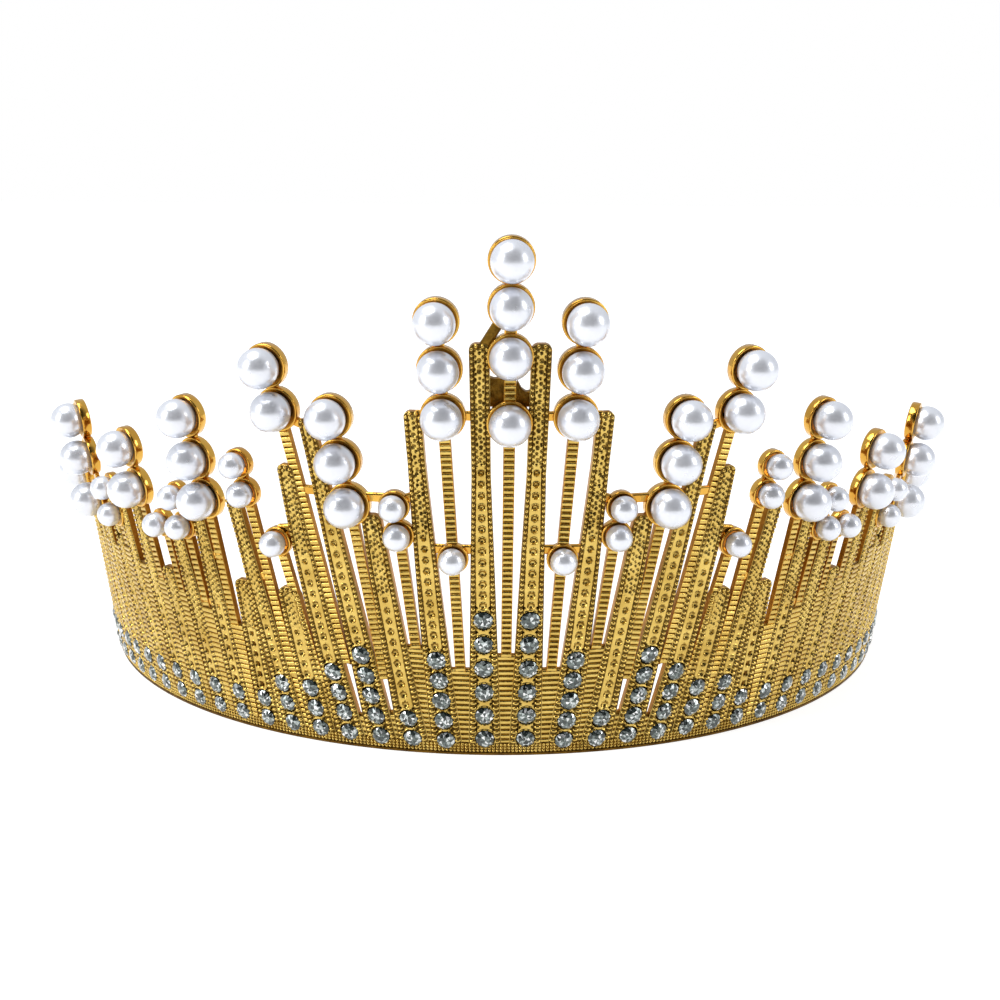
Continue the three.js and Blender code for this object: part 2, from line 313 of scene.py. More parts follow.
def goldMaterial(name, spec):
    # cast zinc alloy, gold plated, with a brown painted shade mixed in wherever the recessShade attribute
    # marks a hollow
    # cloudSize is how far the plating's colour drifts; grainSize is the mould's skin, which is really
    # about 0.05 mm and is drawn coarser so that it shows
    material, tree = newMaterial(name)
    place = addNode(tree, "ShaderNodeTexCoord").outputs["Object"]
    recessShade = addNode(tree, "ShaderNodeAttribute", attribute_name="recessShade").outputs["Fac"]
    cloud = addNode(tree, "ShaderNodeTexNoise", {
        "Vector": place, "Scale": 1 / spec["cloudSize"], "Detail": 3.0, "Roughness": 0.55,
    }).outputs["Fac"]
    tone = addNode(tree, "ShaderNodeValToRGB", {"Fac": cloud})
    tone.color_ramp.elements[0].position = 0.3
    tone.color_ramp.elements[0].color = hexColour(spec["deep"])
    tone.color_ramp.elements[1].position = 0.7
    tone.color_ramp.elements[1].color = hexColour(spec["bright"])
    # painted shade: the hollow colour is mixed in by the recessShade mask
    colour = addNode(tree, "ShaderNodeMix", {
        "Factor": recessShade, 6: tone.outputs["Color"], 7: hexColour(spec["hollowShade"]),
    }, data_type="RGBA").outputs[2]
    grain = addNode(tree, "ShaderNodeTexNoise", {
        "Vector": place, "Scale": 1 / spec["grainSize"], "Detail": 2.0,
    }).outputs["Fac"]
    rough = addNode(tree, "ShaderNodeMapRange", {
        "Value": grain, "To Min": spec["rough"][0], "To Max": spec["rough"][1],
    }).outputs[0]
    dulled = addNode(tree, "ShaderNodeMath", {0: recessShade, 1: 0.25, 2: rough},
                     operation="MULTIPLY_ADD").outputs[0]
    bump = addNode(tree, "ShaderNodeBump", {
        "Strength": spec["bump"], "Distance": spec["grainSize"], "Height": grain,
    }).outputs[0]
    shader = addNode(tree, "ShaderNodeBsdfPrincipled", {
        "Base Color": colour, "Metallic": 1.0, "Roughness": dulled, "Normal": bump,
    }).outputs[0]
    addNode(tree, "ShaderNodeOutputMaterial", {"Surface": shader})
    return material


# textured faces straight from the mould, then plated: soft yellow shine, with painted shade in the pits and
# between the beads
castGold = goldMaterial("goldPlatedCastAlloy", {
    "bright": "#D8BA66", "deep": "#B89748", "hollowShade": "#3A2608",
    "cloudSize": 4 * mm, "grainSize": 0.22 * mm, "rough": (0.18, 0.30), "bump": 0.14,
})
# cups, links and edges are tumbled smooth before plating: clear reflections and deep amber shade
tumbledGold = goldMaterial("goldPlatedTumbledAlloy", {
    "bright": "#DCAE50", "deep": "#C7923A", "hollowShade": "#5A3A0C",
    "cloudSize": 6 * mm, "grainSize": 0.5 * mm, "rough": (0.10, 0.20), "bump": 0.08,
})
# side walls, left satin from the mould, in a deeper amber than the faces: a painted shade
shadedWallGold = goldMaterial("goldPlatedWallPaintedShade", {
    "bright": "#B47E2C", "deep": "#8C5E18", "hollowShade": "#4A3008",
    "cloudSize": 3 * mm, "grainSize": 0.3 * mm, "rough": (0.26, 0.40), "bump": 0.15,
})
# floors between ribs and beads, and the web: a dark brown gold with little shine, painted shade where these
# floors sit deep
recessShadeGold = goldMaterial("goldPlatedRecessPaintedShade", {
    "bright": "#7A5A1E", "deep": "#4A3210", "hollowShade": "#2A1A06",
    "cloudSize": 1.5 * mm, "grainSize": 0.25 * mm, "rough": (0.4, 0.55), "bump": 0.4,
})
# the brace and the strut get a darker, duller gold, which is painted shade
shadedBraceGold = goldMaterial("goldPlatedBracePaintedShade", {
    "bright": "#94702A", "deep": "#5C4214", "hollowShade": "#33230A",
    "cloudSize": 1.2 * mm, "grainSize": 0.3 * mm, "rough": (0.35, 0.5), "bump": 0.6,
})


def pearlMaterial():
    # ABS bead dipped in pearl lacquer: a soft mirror-like skin over white, bluish towards the rim
    # the lacquer runs a little, in swirls of about 2.5 mm
    material, tree = newMaterial("pearlLacquerOnAbs")
    place = addNode(tree, "ShaderNodeTexCoord").outputs["Object"]
    facing = addNode(tree, "ShaderNodeLayerWeight", {"Blend": 0.3}).outputs["Facing"]
    lustre = addNode(tree, "ShaderNodeValToRGB", {"Fac": facing})
    lustre.color_ramp.elements[0].color = hexColour("#E4E6EC")
    lustre.color_ramp.elements[1].color = hexColour("#D3D9E4")
    swirl = addNode(tree, "ShaderNodeTexNoise", {
        "Vector": place, "Scale": 1 / (2.5 * mm), "Detail": 2.0,
    }).outputs["Fac"]
    rough = addNode(tree, "ShaderNodeMapRange", {"Value": swirl, "To Min": 0.24, "To Max": 0.34}).outputs[0]
    skin = addNode(tree, "ShaderNodeBump", {
        "Strength": 0.05, "Distance": 0.3 * mm, "Height": swirl,
    }).outputs[0]
    shader = addNode(tree, "ShaderNodeBsdfPrincipled", {
        "Base Color": lustre.outputs["Color"], "Metallic": 0.55, "Roughness": rough, "Coat Weight": 0.35,
        "Coat Roughness": 0.12, "Normal": skin,
    }).outputs[0]
    addNode(tree, "ShaderNodeOutputMaterial", {"Surface": shader})
    return material


def stoneMaterial():
    # pressed glass over silver foil: its facets are painted dark, grey and white for the reflections in
    # them, which differ from stone to stone painted reflections of the back facets, about 0.6 mm across, as
    # seen through the front ones, break them up
    material, tree = newMaterial("foiledPressedGlass")
    place = addNode(tree, "ShaderNodeTexCoord").outputs["Object"]
    facet = addNode(tree, "ShaderNodeAttribute", attribute_name="facetGlint").outputs["Fac"]
    stone = addNode(tree, "ShaderNodeAttribute", attribute_name="stoneGlint").outputs["Fac"]
    splinter = addNode(tree, "ShaderNodeTexVoronoi", {
        "Vector": place, "Scale": 1 / (0.6 * mm),
    }).outputs["Color"]
    flash = addNode(tree, "ShaderNodeSeparateColor", {0: splinter}).outputs[0]
    both = addNode(tree, "ShaderNodeMath", {0: facet, 1: stone}, operation="ADD").outputs[0]
    mixed = addNode(tree, "ShaderNodeMath", {0: flash, 1: 0.45, 2: both},
                    operation="MULTIPLY_ADD").outputs[0]
    level = addNode(tree, "ShaderNodeMath", {0: mixed}, operation="FRACT").outputs[0]
    tint = addNode(tree, "ShaderNodeValToRGB", {"Fac": level})
    tint.color_ramp.elements[0].color = hexColour("#151C1B")
    tint.color_ramp.elements[1].color = hexColour("#FFFFFF")
    for position, code in ((0.40, "#3B4643"), (0.68, "#6C7773"), (0.86, "#B9C2C0")):
        tint.color_ramp.elements.new(position).color = hexColour(code)
    shader = addNode(tree, "ShaderNodeBsdfPrincipled", {
        "Base Color": tint.outputs["Color"], "Metallic": 0.6, "Roughness": 0.07, "Coat Weight": 1.0,
        "Coat Roughness": 0.02,
    }).outputs[0]
    addNode(tree, "ShaderNodeOutputMaterial", {"Surface": shader})
    return material


pearlLacquer = pearlMaterial()
foiledGlass = stoneMaterial()

# each bar's face is a height grid, so that its dimples, pits and stone seats are real
barLook = {
    "cell": 0.108,                # grid spacing of the worked face
    "corner": 0.75,               # roundness of the top corners, as a share of half the width
    "field": -0.18,               # level of the smooth middle between the beaded edges
    "middle": (1.0, 0.8),         # half its width on the inner and the outer bars
    "lastInner": 5,               # the last bar that counts as an inner one
    "edgeBand": (0.62, 1.25),     # least and greatest width of each beaded edge
    "edgeFloor": -0.24,           # what the beads stand on
    "groove": (0.12, 0.07),       # depth and width of the line between an edge and the middle
    "arris": (0.08, 0.12),        # drop and width of the softened outer edge
    "apart": 0.07,                # every other bar is this much lower, so that no two faces fight
    "wall": -0.45,                # where the plain side wall starts
    "backEase": 0.15,             # the bottom's back corner is ground as if this much nearer
    "footBand": 1.95,             # height of the beaded border at the bottom
    "dimple": {"radius": 0.54, "depth": 0.42, "spacing": 1.74, "lip": 0.10},
    "pit": {"radius": 0.27, "depth": 0.30, "up": 0.86, "across": 0.56, "stray": 0.13, "swell": 0.3},
    "seat": {"radius": 1.44, "floor": -0.75, "collar": 0.14},      # what a rhinestone sits in
    "seatRow": {"first": (4.0, 2.8), "other": (3.4, 2.35)},        # spacing, height of the lowest
    "seatPits": [(0.95, 0.0, 0.24), (1.32, 0.42, 0.2), (1.32, -0.42, 0.2)],      # across, up, radius
    "pinHole": {"bar": 13, "angle": 57.8, "height": 26.9, "radius": 0.7, "floor": -1.2},
}


def smoothStep(low, high, value):
    t = np.clip((value - low) / (high - low), 0, 1)
    return t * t * (3 - 2 * t)


def stoneRow(index):
    return barLook["seatRow"]["first" if index == 0 else "other"]


def stoneHeights(index):
    spacing, lowest = stoneRow(index)
    return [lowest + spacing * i for i in range(bars[index][3])]


def edgeWidth(index, height):
    # the beaded edges take up what the smooth middle leaves
    least, most = barLook["edgeBand"]
    middle = barLook["middle"][0 if index <= barLook["lastInner"] else 1]
    return min(max(barWidth(index, height) / 2 - middle, least), most)


def addDimples(across, up, first, lastRow, inField, depth, hollowShade):
    # one row of drilled dimples up the middle, finer towards the top
    look = barLook["dimple"]
    row = np.clip(np.round((up - first) / look["spacing"]), 0, lastRow)
    radius = look["radius"] * (1.04 - 0.26 * (row / lastRow) ** 2)
    rise = up - first - row * look["spacing"]
    away = np.hypot(across, rise)
    bowl = np.clip(1 - (away / radius) ** 2, 0, 1)
    lip = np.exp(-((away - radius - 0.07) / 0.08) ** 2)
    depth = depth + inField * (look["lip"] * lip - look["depth"] * bowl ** 0.8)
    # painted shade in each dimple, heaviest in its upper half and to one side
    shaded = np.clip(0.16 + 0.75 * (rise + 0.5 * across) / radius, 0.0, 0.8)
    return depth, np.maximum(hollowShade, inField * np.clip(bowl * 2.2, 0, 1) * shaded)


def addPits(index, across, up, start, inField, depth, hollowShade):
    # small pits punched by hand above the dimples, so that they wander and differ in size
    look = barLook["pit"]
    column = np.round(across / look["across"])
    shift = np.where(column % 2 == 0, 0.0, 0.5)
    step = np.round(up / look["up"] - shift)
    dice = np.random.default_rng(100 + index).uniform(-1, 1, (3, 16, 128))
    key = (np.mod(column, 16).astype(int), np.mod(step, 128).astype(int))
    strayAcross, strayUp, swell = (layer[key] for layer in dice)
    away = np.hypot(across - column * look["across"] - look["stray"] * strayAcross,
                    up - (step + shift) * look["up"] - look["stray"] * strayUp)
    pitted = smoothStep(start, start + 0.4, up) * inField
    bowl = np.clip(1 - (away / (look["radius"] * (1 + look["swell"] * swell))) ** 2, 0, 1) * pitted
    depth = depth + (0.07 * pitted - look["depth"] * bowl)
    # painted shade in each pit
    return depth, np.maximum(hollowShade, np.clip(bowl * (0.75 + 0.4 * strayUp), 0, 1))


def addSeats(index, across, up, depth, hollowShade):
    # a collared seat for each rhinestone, with three punched pits a side between neighbours
    look = barLook["seat"]
    spacing = stoneRow(index)[0]
    for height in stoneHeights(index):
        for corner in (-1, 1):
            for x, y, size in barLook["seatPits"]:
                away = np.hypot(across - corner * x, up - height - spacing / 2 - y)
                bowl = np.clip(1 - (away / size) ** 2, 0, 1)
                depth = depth - 0.28 * bowl
                # painted shade in the punched pits
                hollowShade = np.maximum(hollowShade, bowl ** 0.5)
    for height in stoneHeights(index):
        away = np.hypot(across, up - height)
        collar = np.exp(-((away - look["radius"] - 0.15) / 0.10) ** 2)
        depth = depth + look["collar"] * collar
        # the collar is kept clear of painted shade
        hollowShade = hollowShade * (1 - 0.9 * collar)
        inside = 1 - smoothStep(look["radius"] - 0.02, look["radius"] + 0.06, away)
        depth = depth * (1 - inside) + inside * look["floor"]
        # painted shade in the seat under the stone
        hollowShade = np.maximum(hollowShade, inside)
    return depth, hollowShade


def workedFace(index, across, up, edge):
    # depth of the bar's face, and how much painted shade it takes, at each grid point
    band = np.array([edgeWidth(index, y) for y in up[:, 0]])[:, None]
    inField = smoothStep(band - 0.04, band + 0.06, edge) * smoothStep(0, 0.1, up - barLook["footBand"])
    depth = barLook["edgeFloor"] + (barLook["field"] - barLook["edgeFloor"]) * inField
    grooveDepth, grooveWidth = barLook["groove"]
    depth -= grooveDepth * np.exp(-((edge - band + 0.02) / grooveWidth) ** 2)
    # painted shade over the beaded edges, between the beads
    hollowShade = 0.9 * (1 - inField)
    # dimples run from the highest stone to about where the fine pitting starts
    spacing = barLook["dimple"]["spacing"]
    first = stoneHeights(index)[-1] + 2.35
    lastRow = max(1, math.floor((bars[index][4] - first) / spacing))
    depth, hollowShade = addDimples(across, up, first, lastRow, inField, depth, hollowShade)
    depth, hollowShade = addPits(index, across, up, first + lastRow * spacing + 0.6, inField, depth, hollowShade)
    depth, hollowShade = addSeats(index, across, up, depth, hollowShade)
    hole = barLook["pinHole"]
    if index == hole["bar"]:
        aside = barCentre(index, hole["height"]) - arc(hole["angle"])
        away = np.hypot(across + aside, up - hole["height"])
        inside = 1 - smoothStep(hole["radius"], hole["radius"] + 0.15, away)
        depth = depth * (1 - inside) + inside * hole["floor"]
        # painted shade inside the pin hole
        hollowShade = np.maximum(hollowShade, inside)
    return depth, hollowShade


def barMesh(index, side):
    top = bars[index][0]
    topHalf = barWidth(index, top) / 2
    corner = barLook["corner"] * topHalf
    # rows are evenly spaced, and their points close up as the bar and its rounded top narrow, so
    # the columns are counted for a width between the foot's and the top's
    rows = int(top / barLook["cell"])
    columns = int(barWidth(index, 0) * 0.86 / barLook["cell"])
    up = np.linspace(0, 1, rows + 1)[:, None] * (top - 0.02)
    t = np.linspace(-1, 1, columns + 1)[None, :]
    width = np.array([barWidth(index, y) / 2 for y in up[:, 0]])[:, None]
    above = np.clip(up - (top - corner), 0, corner)
    half = width - corner + np.sqrt(corner ** 2 - above ** 2)
    across = t * half
    sideways = np.clip(np.abs(across) - (width - corner), 0, None)
    inset = corner - np.hypot(sideways, above)
    edge = np.where(sideways > 0, inset, np.minimum(width - np.abs(across), top - up))
    upGrid = up + 0 * across
    depth, hollowShade = workedFace(index, across, upGrid, edge)
    drop, dropWidth = barLook["arris"]
    depth -= drop * (1 - smoothStep(0, dropWidth, edge))
    depth -= barLook["apart"] * (index % 2)
    hollowShade *= smoothStep(0.0, 0.10, edge)                # the painted shade fades out along the arris
    middle = np.array([barCentre(index, y) for y in up[:, 0]])[:, None]
    # each row is a closed loop: the worked face, then the side walls and the back
    back, wall = -layout["thick"], barLook["wall"]
    loops = columns + 5
    points = np.zeros((rows + 1, loops, 3))
    points[:, :columns + 1, 0] = middle + across
    points[:, :columns + 1, 2] = depth
    for slot, (share, level) in enumerate([(1, wall), (1, back), (-1, back), (-1, wall)]):
        points[:, columns + 1 + slot, 0] = (middle + share * half)[:, 0]
        points[:, columns + 1 + slot, 2] = level
    points[:, :, 1] = up
    points[0, :, 1] = points[0, :, 2] * flareSin          # the bottom edge is ground flat
    points[0, columns + 2:columns + 4, 1] = (back + barLook["backEase"]) * flareSin
    # the painted shade mask, on the worked face only
    hollowShades = np.zeros((rows + 1, loops))
    hollowShades[:, :columns + 1] = hollowShade
    points[:, :, 0] *= side
    ids = np.arange((rows + 1) * loops).reshape(rows + 1, loops)
    a, b = ids[:-1], ids[1:]
    quads = np.stack([a, np.roll(a, -1, 1), np.roll(b, -1, 1), b], -1).reshape(-1, 4)
    if side < 0:
        quads = quads[:, ::-1]
    caps = [list(ids[0][::-1]), list(ids[-1])]
    if side < 0:
        caps = [cap[::-1] for cap in caps]
    shadedWall = np.ones((rows, loops), bool)
    shadedWall[:, :columns] = False
    return points.reshape(-1, 3), quads, caps, hollowShades.ravel(), shadedWall.ravel()


def barGroup(name, chosen):
    # several neighbouring bars as one piece
    vertices, quads, caps, hollowShades, shadedWall = [], [], [], [], []
    count = 0
    for index, side in chosen:
        v, q, c, h, p = barMesh(index, side)
        vertices.append(v)
        quads.append(q + count)
        caps += [[i + count for i in cap] for cap in c]
        hollowShades.append(h)
        shadedWall.append(p)
        count += len(v)
    vertices, quads = np.concatenate(vertices), np.concatenate(quads)
    shadedWall = np.concatenate(shadedWall)
    faces = quads.tolist() + caps
    # the walls take the darker wall gold, which is painted shade
    source = meshObject(name + "Flat", vertices, faces, materials=[castGold, shadedWallGold])
    mesh = source.data
    # the painted shade mask goes on the mesh as an attribute
    attribute = mesh.attributes.new("recessShade", "FLOAT", "POINT")
    attribute.data.foreach_set("value", np.concatenate(hollowShades).astype(np.float32))
    slots = np.concatenate([shadedWall.astype(np.int32), np.ones(len(caps), np.int32)])
    mesh.polygons.foreach_set("material_index", slots)
    return growPiece(source, bendOnly, name)


print("bars")
pieces = []
groups = [range(0, 4), range(4, 10), range(10, 16), range(16, 23)]
for side, sideName in ((-1, "left"), (1, "right")):
    for number, group in enumerate(groups):
        piece = barGroup(f"bars_{sideName}_{number + 1}", [(i, side) for i in group])
        pieces.append((piece, "gold_plate"))


def halfBall(radius, height, around, rings):
    # a low dome, for beads
    vertices, faces = [(0, 0, height)], []
    for ring in range(1, rings + 1):
        angle = math.pi / 2 * ring / rings
        for i in range(around):
            turn = 2 * math.pi * i / around
            reach = radius * math.sin(angle)
            vertices.append((reach * math.cos(turn), reach * math.sin(turn), height * math.cos(angle)))
    for i in range(around):
        after = (i + 1) % around
        faces.append((0, 1 + i, 1 + after))
        for ring in range(rings - 1):
            a, b = 1 + ring * around, 1 + (ring + 1) * around
            faces.append((a + i, b + i, b + after, a + after))
    faces.append(tuple(1 + (rings - 1) * around + i for i in reversed(range(around))))
    return vertices, faces


print("beaded edges")
beads = {"radius": 0.33, "height": 0.33, "spacing": 0.82, "floor": -0.26, "lowest": 2.3, "gap": 0.04,
         "seed": 7}
beadShape = benchShape("bead", *halfBall(beads["radius"], beads["height"], 8, 3))


def barOutline(index):
    # the line that the beads follow, up one edge, round the top and down the other, and their widths
    top = bars[index][0]
    topHalf = barWidth(index, top) / 2
    corner = barLook["corner"] * topHalf
    steps = max(4, int(top / 2.5))
    lowest = beads["lowest"]
    rises = [lowest + (top - corner - lowest) * i / steps for i in range(steps + 1)]
    line = []
    for turn in (-1, 1):
        edge = []
        for y in rises:
            wide = edgeWidth(index, y)
            edge.append((barCentre(index, y) + turn * (barWidth(index, y) - wide) / 2, y, wide))
        middle = barCentre(index, top) + turn * (topHalf - corner)
        wide = edgeWidth(index, top)
        for i in range(1, 4):
            angle = math.pi * i / 8
            reach = corner - wide / 2
            edge.append((middle + turn * reach * math.cos(angle),
                         top - corner + reach * math.sin(angle), wide))
        line += edge if turn < 0 else edge[::-1]
    return line


def pathsObject(name, lines):
    vertices, edges = [], []
    for line in lines:
        start = len(vertices)
        vertices += line
        edges += [(start + i, start + i + 1) for i in range(len(line) - 1)]
    return meshObject(name, vertices, edges=edges)


def pointsObject(name, places, turns, fits):
    points = meshObject(name, places)
    for label, rows in (("turn", turns), ("fit", fits)):
        attribute = points.data.attributes.new(label, "FLOAT_VECTOR", "POINT")
        attribute.data.foreach_set("vector", np.array(rows, np.float32).ravel())
    return points


def beadPlaces(index, side, dice):
    # a bead every so often along the outline, as wide as the edge there
    line = np.array(barOutline(index))
    lengths = np.hypot(*np.diff(line[:, :2], axis=0).T)
    along = np.concatenate([[0], np.cumsum(lengths)])
    stops = np.linspace(0, along[-1], int(along[-1] / beads["spacing"]) + 1)
    x, y, wide = (np.interp(stops, along, line[:, k]) for k in range(3))
    run = np.gradient(x), np.gradient(y)
    for i in range(len(stops)):
        size = dice.uniform(0.86, 1.0)
        level = beads["floor"] - barLook["apart"] * (index % 2)
        stretch = (wide[i] - beads["gap"]) / (2 * beads["radius"])
        yield ((side * x[i], y[i], level), (0, 0, math.atan2(-side * run[0][i], run[1][i])),
               (stretch * size, size, size))


for side, sideName in ((-1, "left"), (1, "right")):
    dice = random.Random(beads["seed"])
    rows = [row for i in range(len(bars)) for row in beadPlaces(i, side, dice)]
    piece = growPiece(pointsObject("beadPoints", *zip(*rows)), onPoints, f"beaded_edges_{sideName}",
                      {"Shape": beadShape, "Material": castGold})
    pieces.append((piece, "gold_plate"))

# a continuous border along the bottom edge, with three rows of beads above a plain lip
print("bottom border")
border = {"back": -1.25, "front": -0.28, "top": 1.9, "lip": 0.36, "lipFront": -0.04,
          "rows": (0.66, 1.16, 1.66), "spacing": 0.60, "bead": (0.28, 0.27), "trim": 0.995}
endArc = barCentre(len(bars) - 1, 0) + barWidth(len(bars) - 1, 0) / 2 - 0.05
stations = [endArc * t / 90 for t in range(-90, 91)]
section = [(0, border["back"]), (border["top"], border["back"]), (border["top"], border["front"]),
           (border["lip"] + 0.08, border["front"]), (border["lip"], border["lipFront"]),
           (0.06, border["lipFront"]), (0, -0.1)]
railVertices, railFaces = [], []
for x in stations:
    railVertices += [(x, y + (z * flareSin if y == 0 else 0), z) for y, z in section]
count = len(section)
for i in range(len(stations) - 1):
    start = count * i
    railFaces += [(start + j, start + count + j, start + count + (j + 1) % count, start + (j + 1) % count)
                  for j in range(count)]
railFaces += [tuple(range(count)), tuple(reversed(range(len(railVertices) - count, len(railVertices))))]
# the rail is the dark recess gold, painted shade between the border beads
rail = meshObject("railFlat", railVertices, railFaces, materials=[recessShadeGold], smooth=False)
pieces.append((growPiece(rail, bendOnly, "bottom_border"), "dark_gold_plate"))
borderBead = benchShape("borderBead", *halfBall(*border["bead"], 8, 2))
borderLines = [[(x * border["trim"], y, border["front"]) for x in stations] for y in border["rows"]]
piece = growPiece(pathsObject("borderPaths", borderLines), alongPath, "beaded_bottom_border", {
    "Shape": borderBead, "Spacing": border["spacing"], "Size Change": 0.12, "Seed": 11,
    "Material": castGold,
})
pieces.append((piece, "gold_plate"))

# the web is sunk between the bars, and the stalks rise from it between two thin rails
print("web, stalks and links")
webLook = {"back": -1.25, "front": -0.62, "outerFront": -0.40, "outerFrom": 8, "firstRung": 2.2,
           "leastGap": 0.25}
stalkLook = {"width": 1.55, "back": -1.2, "floor": -0.55, "rail": 0.2, "railTop": -0.34,
             "ribSpacing": 0.84, "ribWidth": 1.46, "leastRun": 1.2, "tuck": 0.5}
# necks join cups that nearly touch
neckLook = {"width": 1.6, "back": -1.2, "front": -0.45, "bevel": 0.2, "tuck": 1.2}
linkLook = {"width": 1.4, "back": -1.2, "front": -0.4, "bevel": 0.25}      # from a stalk to its bars
cupRadii = {"large": 3.45, "small": 2.45}      # where a stalk stops short of a cup


def webFront(index):
    # the web is nearly flush with the bars towards the ends
    return webLook["outerFront" if index >= webLook["outerFrom"] else "front"]


def slab(points, low, high, front=0):
    # a flat plate from an outline, with its faces outwards
    area = sum(p[0] * q[1] - q[0] * p[1] for p, q in zip(points, points[1:] + points[:1]))
    if area < 0:
        points = points[::-1]
    count = len(points)
    vertices = [(x, y, low) for x, y in points] + [(x, y, high) for x, y in points]
    faces = [tuple(reversed(range(count))), tuple(range(count, 2 * count))]
    faces += [(i, (i + 1) % count, count + (i + 1) % count, count + i) for i in range(count)]
    return vertices, faces, front


def slabsObject(name, slabs, materials, bevel):
    # each slab is its vertices, its faces and the material number of its front
    vertices, faces, slots = [], [], []
    for v, f, front in slabs:
        start = len(vertices)
        vertices += v
        faces += [tuple(i + start for i in face) for face in f]
        slots += [0, front] + [0] * (len(f) - 2)
    source = meshObject(name + "Flat", vertices, faces, materials=materials, smooth=False)
    source.data.polygons.foreach_set("material_index", slots)
    edge = source.modifiers.new("bevel", "BEVEL")
    edge.width = bevel
    edge.segments = 2
    return growPiece(source, bendOnly, name)


def webOutline(index, side):
    top = webTops[index]
    steps = max(1, int(top / 6))
    rises = [top * i / steps for i in range(steps + 1)]
    inner = [(0 if index == 0 else barCentre(index - 1, y), y) for y in rises]
    outer = [(barCentre(index, y), y) for y in rises]
    return [(side * x, y) for x, y in inner + outer[::-1]]


# the web's front is the dark recess gold, painted shade between the bars
webs = [slab(webOutline(i, side), webLook["back"], webFront(i), 1) for side in (-1, 1)
        for i in range(len(bars))]
pieces.append((slabsObject("web_between_bars", webs, [shadedWallGold, recessShadeGold], 0.06), "gold_plate"))


def gapAt(x, height):
    # the gap between bars that this place is in
    return sum(1 for i in range(len(bars)) if barCentre(i, height) < x)


stalkRuns, necks = [], []      # ribbed lengths between cups, and plain necks between touching cups


def splitAtCups(centre, foot, larges, smalls):
    # the lengths of one stalk, each tucked a little under the cups at its ends
    pearls = sorted([(y, cupRadii["large"]) for y in larges] + [(y, cupRadii["small"]) for y in smalls])
    low, tuck, neckTuck = foot, stalkLook["tuck"], neckLook["tuck"]
    for height, radius in pearls:
        if height - radius - low > stalkLook["leastRun"]:
            stalkRuns.append((centre, low, height - radius + tuck))
        else:
            necks.append((centre, low - neckTuck, height - radius + neckTuck))
        low = height + radius - tuck


for side in (-1, 1):
    for stalk in stalks:
        gap = gapAt(stalkCentre(stalk, 3), 3)
        webTop = webTops[gap] if gap < len(bars) else 0
        foot = stalk[2] if stalk[2] > webTop else webTop - 0.4
        splitAtCups(lambda y, s=stalk, k=side: k * stalkCentre(s, y), foot, stalk[3], stalk[4])
splitAtCups(lambda y: 0.0, webTops[0] - 0.4, centrePearls, [])


def stalkSlab(run, offset, width, low, high):
    centre, foot, top = run
    steps = max(2, int((top - foot) / 5))
    rises = [foot + (top - foot) * i / steps for i in range(steps + 1)]
    outline = [(centre(y) + offset - width / 2, y) for y in rises]
    outline += [(centre(y) + offset + width / 2, y) for y in reversed(rises)]
    return slab(outline, low, high, 1 if offset == 0 else 0)


stalkSlabs = []
for run in stalkRuns:
    stalkSlabs.append(stalkSlab(run, 0, stalkLook["width"], stalkLook["back"], stalkLook["floor"]))
    for edge in (-1, 1):
        offset = edge * (stalkLook["width"] - stalkLook["rail"]) / 2
        stalkSlabs.append(stalkSlab(run, offset, stalkLook["rail"], stalkLook["floor"] - 0.1,
                                    stalkLook["railTop"]))
# the floor between the rails is the dark recess gold and the rails the darker wall gold, both painted shade
pieces.append((slabsObject("stalks", stalkSlabs, [shadedWallGold, recessShadeGold], 0.05), "gold_plate"))
neckSlabs = [stalkSlab(run, 0, neckLook["width"], neckLook["back"], neckLook["front"])[:2] + (0,)
             for run in necks]
pieces.append((slabsObject("cup_necks", neckSlabs, [tumbledGold], neckLook["bevel"]), "gold_plate"))


def ribShape():
    # a rung laid across the stalk, with a broad rounded top
    section = [(0.37, 0), (0.35, 0.14), (0.24, 0.25), (0.0, 0.29), (-0.24, 0.25), (-0.35, 0.14),
               (-0.37, 0)]
    half, count = stalkLook["ribWidth"] / 2, len(section)
    vertices = [(x, y, z) for x in (-half, half) for y, z in section]
    faces = [(i, i + 1, count + i + 1, count + i) for i in range(count - 1)]
    faces += [tuple(range(count))[::-1], tuple(range(count, 2 * count)),
              (0, count, 2 * count - 1, count - 1)]
    return vertices, faces


rib = benchShape("rib", *ribShape())
ribLines = []
for centre, foot, top in stalkRuns:
    steps = max(2, int((top - foot) / 4))
    rises = [foot + 0.4 + (top - foot - 0.4) * i / steps for i in range(steps + 1)]
    ribLines.append([(centre(y), y, stalkLook["floor"] - 0.02) for y in rises])
piece = growPiece(pathsObject("ribPaths", ribLines), alongPath, "stalk_ribs", {
    "Shape": rib, "Spacing": stalkLook["ribSpacing"], "Size Change": 0.06, "Seed": 5,
    "Material": castGold,
})
pieces.append((piece, "gold_plate"))

# rungs right across the web, from bar to bar
places, turns, fits = [], [], []
for side in (-1, 1):
    for i in range(len(bars)):
        if i == 0 and side < 0:
            continue      # the middle gap is the same on both sides
        for step in range(int((webTops[i] - 2.5) / stalkLook["ribSpacing"]) + 1):
            y = webLook["firstRung"] + step * stalkLook["ribSpacing"]
            right = barCentre(i, y) - barWidth(i, y) / 2
            left = -right if i == 0 else barCentre(i - 1, y) + barWidth(i - 1, y) / 2
            if right - left < webLook["leastGap"]:
                continue      # the bars meet here
            places.append((side * (left + right) / 2, y, webFront(i) - 0.02))
            turns.append((0, 0, 0))
            fits.append(((right - left + 0.1) / stalkLook["ribWidth"], 1, 1))
piece = growPiece(pointsObject("rungPoints", places, turns, fits), onPoints, "web_rungs",
                  {"Shape": rib, "Material": castGold})
pieces.append((piece, "gold_plate"))


